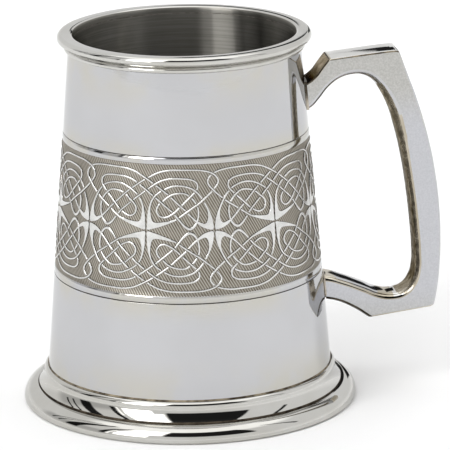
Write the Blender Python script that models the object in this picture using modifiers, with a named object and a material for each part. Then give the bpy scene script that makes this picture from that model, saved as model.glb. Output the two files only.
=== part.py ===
"""Pint tankard in pewter: tapered barrel, moulded lip, knotwork band, foot, floor and cast handle.

Metres, +Z up. The tankard stands on Z = 0 with its handle towards +X, and the origin is the
middle of its bounding box on the surface it stands on, so the barrel's axis lies at X < 0.
Every piece is a separate closed solid. Pieces that solder joins keep a small gap between them.
"""
import math

import bpy
import bmesh
from mathutils import Vector

# Driving dimensions, metres. Radii and heights are measured from the barrel's own axis.
RIM_HEIGHT = 0.1205            # top of the lip above the table
BARREL_RADIUS_AT_TABLE = 0.04663   # the barrel's outer cone, carried down to the table
BARREL_TAPER = 0.08306         # radius lost for each metre of height
WALL = 0.0015                  # barrel wall
BARREL_BOTTOM = 0.0064
BARREL_TOP = 0.1182
BAND_BOTTOM = 0.0428
BAND_TOP = 0.0888
BAND_THICKNESS = 0.0006
FLOOR_TOP = 0.0091
FLOOR_THICKNESS = 0.0018
LIP_RADIUS = 0.04042           # outermost point of the lip
LIP_EDGE_ROUND = 0.0015        # rounding of the lip's outer edge
LIP_EDGE_ARC = (90, -40)       # where that rounding starts and ends, in degrees from level outwards
LIP_BORE_ROUND = 0.0012        # rounding from the lip's flat top into the cup
LIP_BOTTOM = 0.1150            # lower end of the lip's collar, outside the barrel
LIP_BEAD_CENTRE = (0.03747, 0.1160)    # (radius, height) in the lip's section
LIP_BEAD_RADIUS = 0.0009
LIP_BEAD_ARC = (75, -35)
FOOT_RADIUS = 0.05376          # outermost point of the foot
FOOT_CONTACT_INNER = 0.0493    # the flat ring that touches the table
FOOT_CONTACT_OUTER = 0.0528
FOOT_BEAD_CENTRE = (0.04528, 0.00995)  # (radius, height) in the foot's section
FOOT_BEAD_RADIUS = 0.00175
FOOT_BEAD_ARC = (69, 0)
FOOT_COVE_BEND = 0.0040        # radius of the cove's upper bend
FOOT_COVE_FLARE = 0.0096       # radius of the cove's long flare
FOOT_COVE_TILTS = (0, 22, 40)  # degrees from upright: at the bead, where the flare starts, at its end
FOOT_STEP = (0.04897, 0.0053)  # bottom of the small step between the cove and the ovolo
FOOT_OVOLO_CENTRE = (0.04936, 0.00095)
FOOT_OVOLO_RADIUS = 0.0044
FOOT_OVOLO_ARC = (87, -7)
FOOT_HOLLOW = [(0.0486, 0.0012), (0.0474, 0.0032)]     # slope under the foot, inside its contact ring
FOOT_LEDGE_UNDERSIDE = 0.0044  # height of the underside of the ledge that carries the barrel
HANDLE_REACH = 0.0816          # outermost point of the handle from the barrel's axis
HANDLE_THICKNESS = 0.0115
HANDLE_OPENING_ROUND = 0.0023  # edges round the opening, where the fingers go
HANDLE_ARCH_ROUND = 0.0039     # the same edges where the arch turns down into the grip
HANDLE_HOLLOW_ROUND = 0.0015   # edges under the lower arm
HANDLE_EDGE_ROUND = 0.0007     # all the other edges
OPENING_CENTRE = (0.057, 0.068)        # (distance from the axis, height)
ARCH_TURN = (0.0645, 0.0925)   # where the arch turns down, in the same measures
ARCH_TURN_REACH = 0.022        # distance over which the wider rounding fades out
SOLDER_THICKNESS = 0.0004
FOOT_SOLDER_BOTTOM = 0.0118    # ring of solder where the foot's bead meets the barrel
FOOT_SOLDER_TOP = 0.0126
JOINT_GAP = 0.0002             # clearance that every soldered joint keeps
RING_SEGMENTS = 72
SHARP_ANGLE = math.radians(35)

AXIS_X = -(HANDLE_REACH - FOOT_RADIUS) / 2   # centres the bounding box on the origin

# Handle outline as (distance from the axis, height, is it a corner). Both runs start inside
# the barrel's outline, where the barrel's cone trims them.
HANDLE_OUTER = [
    (0.0350, 0.1012, True),
    (0.0386, 0.1028, False), (0.0413, 0.1048, False), (0.0432, 0.1073, False), (0.04555, 0.11035, True),
    (0.0668, 0.1123, True), (0.0679, 0.1120, False), (0.0685, 0.1111, True),
    (0.0708, 0.1047, False), (0.0737, 0.0967, False), (0.0772, 0.0847, False), (0.0797, 0.0726, False),
    (0.08115, 0.0605, False), (0.0816, 0.0500, False), (0.08135, 0.0415, False), (0.0806, 0.0335, False),
    (0.07975, 0.0285, True), (0.07925, 0.02715, False), (0.0782, 0.02655, True),
    (0.0579, 0.0239, True),
    (0.0533, 0.0271, False), (0.0475, 0.0299, False), (0.0400, 0.0313, True),
]
HANDLE_INNER = [
    (0.0400, 0.0386, True),
    (0.0446, 0.0385, False), (0.0506, 0.03665, False), (0.0568, 0.03415, False), (0.0617, 0.0320, False),
    (0.0657, 0.0314, False), (0.0696, 0.0323, False), (0.0722, 0.0352, False), (0.0734, 0.0395, False),
    (0.07345, 0.0450, False), (0.0729, 0.0530, False), (0.0717, 0.0640, False), (0.0699, 0.0755, False),
    (0.0677, 0.0850, False), (0.0654, 0.0927, False), (0.0627, 0.0983, False), (0.0598, 0.1023, False),
    (0.0566, 0.1043, False), (0.0532, 0.1046, False), (0.0496, 0.1037, False), (0.0459, 0.1012, False),
    (0.0424, 0.0970, False), (0.0406, 0.0950, False), (0.0386, 0.0938, False), (0.0350, 0.0928, True),
]
HANDLE_CURVE_STEPS = 2
UPPER_JOINT = (0.0939, 0.1028)   # heights that the upper joint spans on the barrel
LOWER_JOINT = (0.0312, 0.0385)
SADDLE_MARGIN = 0.0004           # how far the solder shows past the handle's end


def barrel_radius(height):
    """Outer radius of the barrel's cone at a height."""
    return BARREL_RADIUS_AT_TABLE - BARREL_TAPER * height


def clear_scene():
    for thing in list(bpy.data.objects):
        bpy.data.objects.remove(thing, do_unlink=True)


def new_collection(name):
    collection = bpy.data.collections.new(name)
    bpy.context.scene.collection.children.link(collection)
    return collection


def metal(name, colour, roughness):
    material = bpy.data.materials.new(name)
    material.use_nodes = True
    shader = material.node_tree.nodes["Principled BSDF"]
    shader.inputs["Base Color"].default_value = (*colour, 1.0)
    shader.inputs["Metallic"].default_value = 1.0
    shader.inputs["Roughness"].default_value = roughness
    material.diffuse_color = (*colour, 1.0)
    return material


def add_piece(name, data, material=None, parent=None):
    """Link a new object to the tankard's collection and hang it on the barrel's axis."""
    piece = bpy.data.objects.new(name, data)
    PARTS.objects.link(piece)
    piece.parent = parent
    if material:
        data.materials.append(material)
    return piece


def make_cutter(piece):
    PARTS.objects.unlink(piece)
    CUTTERS.objects.link(piece)
    piece.hide_render = True
    piece.display_type = "WIRE"
    return piece


def freeze(piece):
    """Turn the piece and its modifiers into a plain mesh, smooth except at its hard edges."""
    bpy.context.view_layer.update()
    evaluated = piece.evaluated_get(bpy.context.evaluated_depsgraph_get())
    mesh = bpy.data.meshes.new_from_object(evaluated)
    name = piece.name
    frozen = bpy.data.objects.new(name + "_mesh", mesh)
    PARTS.objects.link(frozen)
    frozen.parent = piece.parent
    frozen.location = piece.location
    frozen.rotation_euler = piece.rotation_euler
    bpy.data.objects.remove(piece, do_unlink=True)
    frozen.name = name
    mesh.name = name
    mesh.shade_smooth()
    mesh.set_sharp_from_angle(angle=SHARP_ANGLE)
    return frozen


def edge_rounding(edge):
    """How much to round an edge of the handle's blank, which still lies flat: X is the distance
    from the axis, Y the height, and Z runs through the thickness."""
    if edge.calc_face_angle(0.0) < SHARP_ANGLE:
        return 0.0
    side = min(edge.link_faces, key=lambda face: abs(face.normal.z))
    middle = (edge.verts[0].co + edge.verts[1].co) / 2
    inwards = Vector((*OPENING_CENTRE, 0.0)) - middle
    if side.normal.dot(inwards) > 0:
        share = max(0.0, 1 - math.dist(middle[:2], ARCH_TURN) / ARCH_TURN_REACH)
        fade = share * share * (3 - 2 * share)
        return HANDLE_OPENING_ROUND + (HANDLE_ARCH_ROUND - HANDLE_OPENING_ROUND) * fade
    under_lower_arm = side.normal.y < -0.5 and middle.x < HANDLE_OUTER[-4][0] and middle.y < BAND_BOTTOM
    return HANDLE_HOLLOW_ROUND if under_lower_arm else HANDLE_EDGE_ROUND


def close_caps(mesh):
    """Weld an extruded outline's loose caps to its sides, make each cap one flat face, and weigh
    the edges for the bevel that follows."""
    work = bmesh.new()
    work.from_mesh(mesh)
    bmesh.ops.remove_doubles(work, verts=work.verts, dist=0.000002)
    bmesh.ops.dissolve_limit(work, angle_limit=math.radians(1), verts=work.verts, edges=work.edges)
    bmesh.ops.recalc_face_normals(work, faces=work.faces)
    weight = work.edges.layers.float.new("bevel_weight_edge")
    for edge in work.edges:
        edge[weight] = edge_rounding(edge) / HANDLE_ARCH_ROUND
    work.to_mesh(mesh)
    work.free()


def turned(name, section, material, parent):
    """A ring or disc from a closed section, given clockwise from its top: down the outer side."""
    mesh = bpy.data.meshes.new(name)
    count = len(section)
    closed = section[0][0] > 0 and section[-1][0] > 0
    edges = [(i, (i + 1) % count) for i in range(count if closed else count - 1)]
    mesh.from_pydata([(radius, 0.0, height) for radius, height in section], edges, [])
    piece = add_piece(name, mesh, material, parent)
    screw = piece.modifiers.new("turn", "SCREW")
    screw.axis = "Z"
    screw.angle = math.tau
    screw.steps = RING_SEGMENTS
    screw.render_steps = RING_SEGMENTS
    screw.use_merge_vertices = True
    screw.merge_threshold = 0.000005
    return freeze(piece)


def arc(centre, radius, start, end, steps):
    """Points of an arc in the section plane, angles in degrees from the outward axis."""
    points = []
    for step in range(steps + 1):
        angle = math.radians(start + (end - start) * step / steps)
        points.append((centre[0] + radius * math.cos(angle), centre[1] + radius * math.sin(angle)))
    return points


def cone_wall(inner_offset, outer_offset, bottom, top):
    """Section of a shell that follows the barrel's cone between two offsets from it."""
    return [(barrel_radius(top) + outer_offset, top), (barrel_radius(bottom) + outer_offset, bottom),
            (barrel_radius(bottom) + inner_offset, bottom), (barrel_radius(top) + inner_offset, top)]


def make_barrel(axis):
    """The tapered tube, with a shallow channel round it that the knotwork band lies in."""
    channel = BAND_THICKNESS + JOINT_GAP
    upper, lower = BAND_TOP + JOINT_GAP, BAND_BOTTOM - JOINT_GAP
    section = [
        (barrel_radius(BARREL_TOP), BARREL_TOP),
        (barrel_radius(upper), upper), (barrel_radius(upper) - channel, upper),
        (barrel_radius(lower) - channel, lower), (barrel_radius(lower), lower),
        (barrel_radius(BARREL_BOTTOM), BARREL_BOTTOM),
        (barrel_radius(BARREL_BOTTOM) - WALL, BARREL_BOTTOM),
        (barrel_radius(BARREL_TOP) - WALL, BARREL_TOP),
    ]
    polished = metal("barrel_pewter", (0.80, 0.80, 0.79), 0.12)
    return turned("barrel", section, polished, axis)


def make_band(axis):
    section = cone_wall(-BAND_THICKNESS, 0.0, BAND_BOTTOM, BAND_TOP)
    engraved = metal("band_pewter", (0.50, 0.48, 0.45), 0.35)
    return turned("knotwork_band", section, engraved, axis)


def make_lip(axis):
    """The moulded ring on the barrel's top: a flat top with round edges, a cove and a beaded
    collar outside, which laps over the end of the barrel."""
    ledge = BARREL_TOP + SOLDER_THICKNESS + 2 * JOINT_GAP
    cup = barrel_radius(ledge) - WALL
    outer_centre = (LIP_RADIUS - LIP_EDGE_ROUND, RIM_HEIGHT - LIP_EDGE_ROUND)
    inner_centre = (cup + LIP_BORE_ROUND, RIM_HEIGHT - LIP_BORE_ROUND)
    section = arc(outer_centre, LIP_EDGE_ROUND, *LIP_EDGE_ARC, 6)
    section += arc(LIP_BEAD_CENTRE, LIP_BEAD_RADIUS, *LIP_BEAD_ARC, 4)
    section += [(barrel_radius(LIP_BOTTOM) + JOINT_GAP, LIP_BOTTOM)]
    section += [(barrel_radius(ledge) + JOINT_GAP, ledge), (cup, ledge)]
    section += arc(inner_centre, LIP_BORE_ROUND, 180, 90, 4)
    polished = metal("lip_pewter", (0.84, 0.84, 0.83), 0.08)
    return turned("lip_ring", section, polished, axis)


def cove(start, radius, tilt_from, tilt_to, steps):
    """Points down a hollow bend that begins at start and flares outwards between two tilts."""
    centre = (start[0] + radius * math.cos(math.radians(tilt_from)),
              start[1] + radius * math.sin(math.radians(tilt_from)))
    return arc(centre, radius, 180 + tilt_from, 180 + tilt_to, steps)


def make_foot(axis):
    """The foot ring: a bead, a cove and an ovolo outside, hollow below, with a ledge inside."""
    ledge = BARREL_BOTTOM - JOINT_GAP
    ledge_bore = barrel_radius(BARREL_BOTTOM) - WALL - SOLDER_THICKNESS
    upright, bent, flared = FOOT_COVE_TILTS
    section = arc(FOOT_BEAD_CENTRE, FOOT_BEAD_RADIUS, *FOOT_BEAD_ARC, 4)
    section += cove(section[-1], FOOT_COVE_BEND, upright, bent, 3)[1:]
    section += cove(section[-1], FOOT_COVE_FLARE, bent, flared, 2)[1:]
    section += [FOOT_STEP]
    section += arc(FOOT_OVOLO_CENTRE, FOOT_OVOLO_RADIUS, *FOOT_OVOLO_ARC, 8)
    section += [(FOOT_CONTACT_OUTER, 0.0), (FOOT_CONTACT_INNER, 0.0)]
    section += FOOT_HOLLOW + [(ledge_bore, FOOT_LEDGE_UNDERSIDE), (ledge_bore, ledge)]
    section += [(barrel_radius(ledge) + JOINT_GAP, ledge)]
    polished = metal("foot_pewter", (0.83, 0.83, 0.82), 0.08)
    return turned("foot_ring", section, polished, axis)


def make_floor(axis):
    """The disc let into the barrel just above its lower end. Its section starts on the axis."""
    bottom = FLOOR_TOP - FLOOR_THICKNESS
    section = [(0.0, FLOOR_TOP), (barrel_radius(FLOOR_TOP) - WALL - JOINT_GAP, FLOOR_TOP),
               (barrel_radius(bottom) - WALL - JOINT_GAP, bottom), (0.0, bottom)]
    satin = metal("floor_pewter", (0.55, 0.54, 0.52), 0.30)
    return turned("floor_disc", section, satin, axis)


def make_round_solder(axis):
    """The three rings of solder: on the barrel's top end, on the foot and under the floor."""
    solder = metal("solder", (0.42, 0.40, 0.37), 0.45)
    lip_bottom = BARREL_TOP + JOINT_GAP
    lip_top = lip_bottom + SOLDER_THICKNESS
    turned("lip_solder", cone_wall(-WALL, -JOINT_GAP, lip_bottom, lip_top), solder, axis)

    foot_bead = cone_wall(JOINT_GAP, JOINT_GAP + SOLDER_THICKNESS, FOOT_SOLDER_BOTTOM, FOOT_SOLDER_TOP)
    turned("foot_solder", foot_bead, solder, axis)

    floor_top = FLOOR_TOP - FLOOR_THICKNESS - JOINT_GAP
    wall = -WALL - JOINT_GAP
    turned("floor_solder", cone_wall(wall - 2 * SOLDER_THICKNESS, wall, BARREL_BOTTOM, floor_top),
           solder, axis)


def handle_blank(axis):
    """The handle's flat outline, extruded to its thickness and stood upright on the barrel."""
    curve = bpy.data.curves.new("handle", "CURVE")
    curve.dimensions = "2D"
    curve.fill_mode = "BOTH"
    curve.extrude = HANDLE_THICKNESS / 2
    curve.resolution_u = HANDLE_CURVE_STEPS
    outline = HANDLE_OUTER + HANDLE_INNER
    spline = curve.splines.new("BEZIER")
    spline.bezier_points.add(len(outline) - 1)
    spline.use_cyclic_u = True
    for point, (reach, height, corner) in zip(spline.bezier_points, outline):
        point.co = (reach, height, 0.0)
        kind = "VECTOR" if corner else "AUTO"
        point.handle_left_type = kind
        point.handle_right_type = kind
    piece = add_piece("handle", curve, parent=axis)
    piece.rotation_euler = (math.pi / 2, 0.0, 0.0)
    blank = freeze(piece)
    close_caps(blank.data)
    return blank


def make_handle(axis):
    handle = handle_blank(axis)
    handle.data.materials.append(metal("handle_pewter", (0.76, 0.76, 0.75), 0.22))
    rounding = handle.modifiers.new("rounded_edges", "BEVEL")
    rounding.width = HANDLE_ARCH_ROUND
    rounding.segments = 2
    rounding.limit_method = "WEIGHT"
    rounding.use_clamp_overlap = False
    clearance = SOLDER_THICKNESS + 2 * JOINT_GAP
    core = [(0.0, RIM_HEIGHT), (barrel_radius(RIM_HEIGHT) + clearance, RIM_HEIGHT),
            (barrel_radius(0.0) + clearance, 0.0), (0.0, 0.0)]
    cutter = make_cutter(turned("handle_trim", core, None, axis))
    trim = handle.modifiers.new("seat_on_barrel", "BOOLEAN")
    trim.operation = "DIFFERENCE"
    trim.object = cutter
    return freeze(handle)


def make_saddle(name, joint, axis):
    """A thin pad of solder between the barrel and one end of the handle."""
    bottom, top = joint[0] - SADDLE_MARGIN, joint[1] + SADDLE_MARGIN
    mesh = bpy.data.meshes.new(name)
    work = bmesh.new()
    bmesh.ops.create_cube(work, size=1.0)
    width = HANDLE_THICKNESS + 2 * SADDLE_MARGIN
    bmesh.ops.scale(work, vec=(FOOT_RADIUS, width, top - bottom), verts=work.verts)
    work.to_mesh(mesh)
    work.free()
    pad = add_piece(name, mesh, metal(name + "_metal", (0.55, 0.52, 0.47), 0.4), axis)
    pad.location = (FOOT_RADIUS / 2, 0.0, (bottom + top) / 2)
    shell = cone_wall(JOINT_GAP, JOINT_GAP + SOLDER_THICKNESS, bottom - WALL, top + WALL)
    cutter = make_cutter(turned(name + "_shell", shell, None, axis))
    shape = pad.modifiers.new("follow_barrel", "BOOLEAN")
    shape.operation = "INTERSECT"
    shape.object = cutter
    return freeze(pad)


clear_scene()
PARTS = new_collection("tankard")
CUTTERS = new_collection("cutters")
barrel_axis = bpy.data.objects.new("barrel_axis", None)
PARTS.objects.link(barrel_axis)
barrel_axis.location = (AXIS_X, 0.0, 0.0)

make_barrel(barrel_axis)
make_band(barrel_axis)
make_lip(barrel_axis)
make_foot(barrel_axis)
make_floor(barrel_axis)
make_round_solder(barrel_axis)
make_handle(barrel_axis)
make_saddle("upper_handle_solder", UPPER_JOINT, barrel_axis)
make_saddle("lower_handle_solder", LOWER_JOINT, barrel_axis)
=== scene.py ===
"""Looks of the pewter pint tankard: fine turned metal, cast handle and the raised knotwork band.

Lengths are metres unless a name says otherwise. The CAD frame gives every main size and place.
"""
import math

import bmesh
import bpy
import numpy as np
from mathutils import Euler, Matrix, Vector


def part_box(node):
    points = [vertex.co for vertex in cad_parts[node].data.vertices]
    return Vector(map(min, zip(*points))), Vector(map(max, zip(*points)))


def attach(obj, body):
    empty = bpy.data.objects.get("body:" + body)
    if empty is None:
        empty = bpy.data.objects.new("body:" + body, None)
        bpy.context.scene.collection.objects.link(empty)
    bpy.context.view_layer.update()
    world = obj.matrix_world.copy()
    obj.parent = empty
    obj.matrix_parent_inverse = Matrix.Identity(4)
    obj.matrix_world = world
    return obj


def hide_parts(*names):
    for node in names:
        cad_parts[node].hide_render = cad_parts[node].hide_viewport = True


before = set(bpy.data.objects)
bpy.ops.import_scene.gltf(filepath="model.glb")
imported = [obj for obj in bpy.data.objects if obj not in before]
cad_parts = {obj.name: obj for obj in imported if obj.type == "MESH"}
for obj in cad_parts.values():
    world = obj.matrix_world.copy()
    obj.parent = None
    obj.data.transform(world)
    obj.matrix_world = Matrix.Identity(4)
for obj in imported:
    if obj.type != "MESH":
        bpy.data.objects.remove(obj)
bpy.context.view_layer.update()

MM = 0.001


# ---------------- sizes read from the frame

def ring_points(node):
    """The CAD node's vertices as (distance from the barrel's axis, height)."""
    vertices = np.array([v.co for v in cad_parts[node].data.vertices])
    return np.hypot(vertices[:, 0] - AXIS_X, vertices[:, 1]), vertices[:, 2]


def widest_at(node, height):
    radii, heights = ring_points(node)
    return float(radii[np.abs(heights - height) < 0.05 * MM].max())


low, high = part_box("barrel")
AXIS_X = (low.x + high.x) / 2
BARREL_BOTTOM, BARREL_TOP = low.z, high.z
RADIUS_BOTTOM = widest_at("barrel", BARREL_BOTTOM)
RADIUS_TOP = widest_at("barrel", BARREL_TOP)
BAND_BOTTOM, BAND_TOP = (corner.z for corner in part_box("knotwork_band"))
LIP_BOTTOM, RIM = (corner.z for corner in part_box("lip_ring"))
LIP_RADIUS = ring_points("lip_ring")[0].max()
FOOT_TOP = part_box("foot_ring")[1].z
FOOT_RADIUS = ring_points("foot_ring")[0].max()
FLOOR_BOTTOM, FLOOR_TOP = (corner.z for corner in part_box("floor_disc"))
HANDLE_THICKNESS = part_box("handle")[1].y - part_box("handle")[0].y

WALL = 1.5 * MM
SEGMENTS = 288


def cone(height):
    """Outer radius of the barrel at a height."""
    share = (height - BARREL_BOTTOM) / (BARREL_TOP - BARREL_BOTTOM)
    return RADIUS_BOTTOM + (RADIUS_TOP - RADIUS_BOTTOM) * share


# ---------------- node helpers

class Nodes:
    """Short calls for building one node tree. Colours are (red, green, blue)."""

    def __init__(self, tree):
        self.tree = tree

    def add(self, kind, **settings):
        node = self.tree.nodes.new(kind)
        for name, value in settings.items():
            setattr(node, name, value)
        return node

    def feed(self, socket, value):
        """Link a socket to another one, or give it a value."""
        if isinstance(value, bpy.types.NodeSocket):
            self.tree.links.new(value, socket)
        elif socket.type == "RGBA":
            socket.default_value = (*value, 1.0)
        else:
            socket.default_value = value

    def math(self, operation, first, second=0.0):
        node = self.add("ShaderNodeMath", operation=operation)
        self.feed(node.inputs[0], first)
        self.feed(node.inputs[1], second)
        return node.outputs[0]

    def times(self, first, second):
        return self.math("MULTIPLY", first, second)

    def plus(self, first, second):
        return self.math("ADD", first, second)

    def ramp(self, value, low, high, out_low=0.0, out_high=1.0):
        node = self.add("ShaderNodeMapRange", interpolation_type="SMOOTHSTEP")
        for socket, setting in zip(node.inputs, (value, low, high, out_low, out_high)):
            self.feed(socket, setting)
        return node.outputs[0]

    def window(self, value, low, high, soft):
        """1 between two values and 0 outside, with soft edges."""
        rise = self.ramp(value, low - soft, low + soft)
        fall = self.ramp(value, high - soft, high + soft, 1.0, 0.0)
        return self.times(rise, fall)

    def mix(self, share, first, second):
        node = self.add("ShaderNodeMix", data_type="RGBA")
        self.feed(node.inputs["Factor"], share)
        self.feed(node.inputs["A"], first)
        self.feed(node.inputs["B"], second)
        return node.outputs["Result"]

    def tones(self, value, low, high, dark, light):
        """From a dark colour to a light one as a value rises from low to high."""
        return self.mix(self.ramp(value, low, high), dark, light)

    def place(self, scale=(1.0, 1.0, 1.0), origin=(0.0, 0.0, 0.0)):
        """Where a point lies in the row frame, scaled and then moved."""
        mapping = self.add("ShaderNodeMapping")
        self.feed(mapping.inputs["Vector"], self.add("ShaderNodeTexCoord").outputs["Object"])
        mapping.inputs["Scale"].default_value = scale
        mapping.inputs["Location"].default_value = origin
        return mapping.outputs["Vector"]

    def split(self, vector):
        """A vector's x, y and z."""
        node = self.add("ShaderNodeSeparateXYZ")
        self.feed(node.inputs[0], vector)
        return node.outputs

    def noise(self, scale, detail=3.0, roughness=0.5, stretch=(1.0, 1.0, 1.0)):
        node = self.add("ShaderNodeTexNoise")
        self.feed(node.inputs["Vector"], self.place(stretch))
        node.inputs["Scale"].default_value = scale
        node.inputs["Detail"].default_value = detail
        node.inputs["Roughness"].default_value = roughness
        return node.outputs["Fac"]

    def bump(self, height, distance, normal=None):
        node = self.add("ShaderNodeBump")
        self.feed(node.inputs["Height"], height)
        node.inputs["Distance"].default_value = distance
        node.inputs["Strength"].default_value = 1.0
        if normal is not None:
            self.feed(node.inputs["Normal"], normal)
        return node.outputs["Normal"]

    def painted(self, layer):
        """A value that the mesh carries at each vertex."""
        return self.add("ShaderNodeAttribute", attribute_name=layer).outputs["Fac"]


class Metal(Nodes):
    """A metal's material and its nodes. Pewter doesn't flare up at grazing angles."""

    def __init__(self, name, grazing_tint=(0.86, 0.86, 0.86)):
        self.material = bpy.data.materials.new(name)
        self.material.use_nodes = True
        super().__init__(self.material.node_tree)
        self.shader = self.tree.nodes["Principled BSDF"]
        self.feed(self.shader.inputs["Metallic"], 1.0)
        self.feed(self.shader.inputs["Specular Tint"], grazing_tint)

    def coat(self, colour, roughness, normal=None):
        self.feed(self.shader.inputs["Base Color"], colour)
        self.feed(self.shader.inputs["Roughness"], roughness)
        if normal is not None:
            self.feed(self.shader.inputs["Normal"], normal)
        return self.material


# ---------------- materials

PEWTER = (0.532, 0.534, 0.548)
PEWTER_DULL = (0.510, 0.512, 0.524)
PEWTER_WARM = (0.590, 0.584, 0.560)  # the mouldings, which keep a little more of their tarnish
PEWTER_WARM_DULL = (0.530, 0.520, 0.485)
PEWTER_HAZE = (0.535, 0.520, 0.475)  # left beside the seams
PEWTER_WORN = (0.600, 0.560, 0.480)  # the handle's edges
PEWTER_WORN_DULL = (0.420, 0.370, 0.285)
PEWTER_PAINTED_HIGHLIGHT = (0.760, 0.755, 0.735)  # painted highlight on the handle's top and at the bottom of its opening, brighter than the pewter elsewhere

# Seams with a haze beside them, as (height, how far the haze reaches).
SMUDGED = [(LIP_BOTTOM, 16 * MM), (FOOT_TOP, 15 * MM), (BAND_TOP, 6 * MM), (BAND_BOTTOM, 8 * MM)]

# Heights between which the handle's finishes change.
GRIP_SIDE = (0.027, 0.094)  # the part of the flat sides that the hand polishes
WORN_INSIDE_GRIP = (0.0318, 0.0365)  # worn pale below, brown above
UPPER_INSIDE_GRIP = (0.060, 0.095)  # a lighter brown above
PAINTED_DARK_BY_JOINT = (0.1030, 0.1085)  # painted dark reflection: almost black below, in the hollow at the upper joint
SOLDER_PAINTED_SHADE = (0.0955, 0.1000)  # painted shade: black above
JOINT_HOLLOW_END = 0.050  # distance from the axis where that hollow ends


def polished_pewter(name, dull, bright, roughness, waviness, smudged=()):
    """Mirror-polished pewter: soft clouding, faint wiping marks and a slightly uneven surface."""
    nodes = Metal(name)
    height = nodes.split(nodes.place())[2]
    colour = nodes.tones(nodes.noise(26.0, 4.0, 0.6), 0.35, 0.65, dull, bright)
    haze = nodes.ramp(nodes.noise(38.0, 5.0, 0.65), 0.40, 0.62)
    for seam, reach in smudged:
        away = nodes.math("ABSOLUTE", nodes.math("SUBTRACT", height, seam))
        near = nodes.ramp(away, 0.0, reach, 1.0, 0.0)
        colour = nodes.mix(nodes.times(near, haze), colour, PEWTER_HAZE)
    wipes = nodes.ramp(nodes.noise(90.0, 3.0, 0.7, (1.0, 1.0, 14.0)), 0.4, 0.75)
    spread = nodes.plus(nodes.times(wipes, roughness), roughness)
    waves = nodes.bump(nodes.noise(34.0, 1.0, 0.4), waviness)
    grain = nodes.bump(nodes.noise(1500.0, 2.0), 0.0015 * MM, waves)
    return nodes.coat(colour, spread, grain)


def satin_pewter():
    """The handle's flat sides: a fine sand-like grain that scatters the light, brightest on the grip."""
    nodes = Metal("satin_pewter")
    grip = nodes.window(nodes.split(nodes.place())[2], *GRIP_SIDE, 8 * MM)
    speckle = nodes.ramp(nodes.noise(1700.0, 4.0, 0.75), 0.30, 0.70)
    arms = nodes.mix(speckle, (0.415, 0.41, 0.39), (0.545, 0.54, 0.52))
    handled = nodes.mix(speckle, (0.49, 0.495, 0.52), (0.565, 0.57, 0.595))
    fine = nodes.noise(2600.0, 3.0, 0.6)
    coarse = nodes.bump(nodes.noise(420.0, 3.0, 0.6), 0.012 * MM)
    return nodes.coat(nodes.mix(grip, arms, handled), nodes.ramp(fine, 0.2, 0.8, 0.28, 0.42),
                      nodes.bump(fine, 0.006 * MM, coarse))


def inner_pewter():
    """The unpolished inside: level turning grooves that stretch every reflection upright."""
    nodes = Metal("inner_pewter")
    rings = nodes.ramp(nodes.noise(1300.0, 3.0, 0.7, (0.02, 0.02, 1.0)), 0.35, 0.65)
    dark = nodes.mix(rings, (0.165, 0.158, 0.138), (0.225, 0.216, 0.190))
    light = nodes.mix(rings, (0.230, 0.222, 0.200), (0.290, 0.281, 0.256))
    metal = nodes.add("ShaderNodeBsdfAnisotropic")
    stain = nodes.noise(45.0, 4.0, 0.6)
    nodes.feed(metal.inputs["Color"], nodes.tones(stain, 0.3, 0.7, dark, light))
    metal.inputs["Roughness"].default_value = 0.30
    metal.inputs["Anisotropy"].default_value = 0.8
    tangent = nodes.add("ShaderNodeTangent", direction_type="RADIAL", axis="Z")
    nodes.feed(metal.inputs["Tangent"], tangent.outputs[0])
    nodes.feed(metal.inputs["Normal"], nodes.bump(rings, 0.004 * MM))
    nodes.feed(nodes.tree.nodes["Material Output"].inputs["Surface"], metal.outputs[0])
    nodes.tree.nodes.remove(nodes.shader)
    return nodes.material


def floor_pewter():
    """The floor inside, with rings left by the lathe."""
    nodes = Metal("floor_pewter")
    rings = nodes.add("ShaderNodeTexWave", wave_type="RINGS", rings_direction="Z")
    nodes.feed(rings.inputs["Vector"], nodes.place(origin=(-AXIS_X, 0.0, 0.0)))
    rings.inputs["Scale"].default_value = 420.0
    rings.inputs["Distortion"].default_value = 1.2
    shade = rings.outputs["Fac"]
    return nodes.coat(nodes.mix(shade, (0.38, 0.36, 0.33), (0.46, 0.45, 0.42)), 0.3,
                      nodes.bump(shade, 0.01 * MM))


def hatched_pewter():
    """The band's oxidised ground: brown-grey in the hatched grooves, brighter on the ridges."""
    nodes = Metal("hatched_pewter")
    stain = nodes.noise(150.0, 5.0, 0.7)
    groove = nodes.tones(stain, 0.3, 0.7, (0.12, 0.098, 0.070), (0.235, 0.212, 0.174))
    colour = nodes.tones(nodes.painted("ridge"), 0.3, 0.9, groove, (0.43, 0.41, 0.365))
    return nodes.coat(colour, nodes.ramp(stain, 0.3, 0.7, 0.38, 0.52),
                      nodes.bump(nodes.noise(1800.0), 0.006 * MM))


def strand_pewter():
    """Polished tops and tarnished flanks of the raised strands."""
    nodes = Metal("strand_pewter")
    wear = nodes.noise(300.0, 3.0, 0.6)
    bright = nodes.tones(wear, 0.3, 0.7, (0.62, 0.62, 0.605), (0.74, 0.74, 0.725))
    colour = nodes.tones(nodes.painted("ridge"), 0.35, 0.8, (0.10, 0.085, 0.07), bright)
    return nodes.coat(colour, 0.26, nodes.bump(wear, 0.01 * MM))


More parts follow.
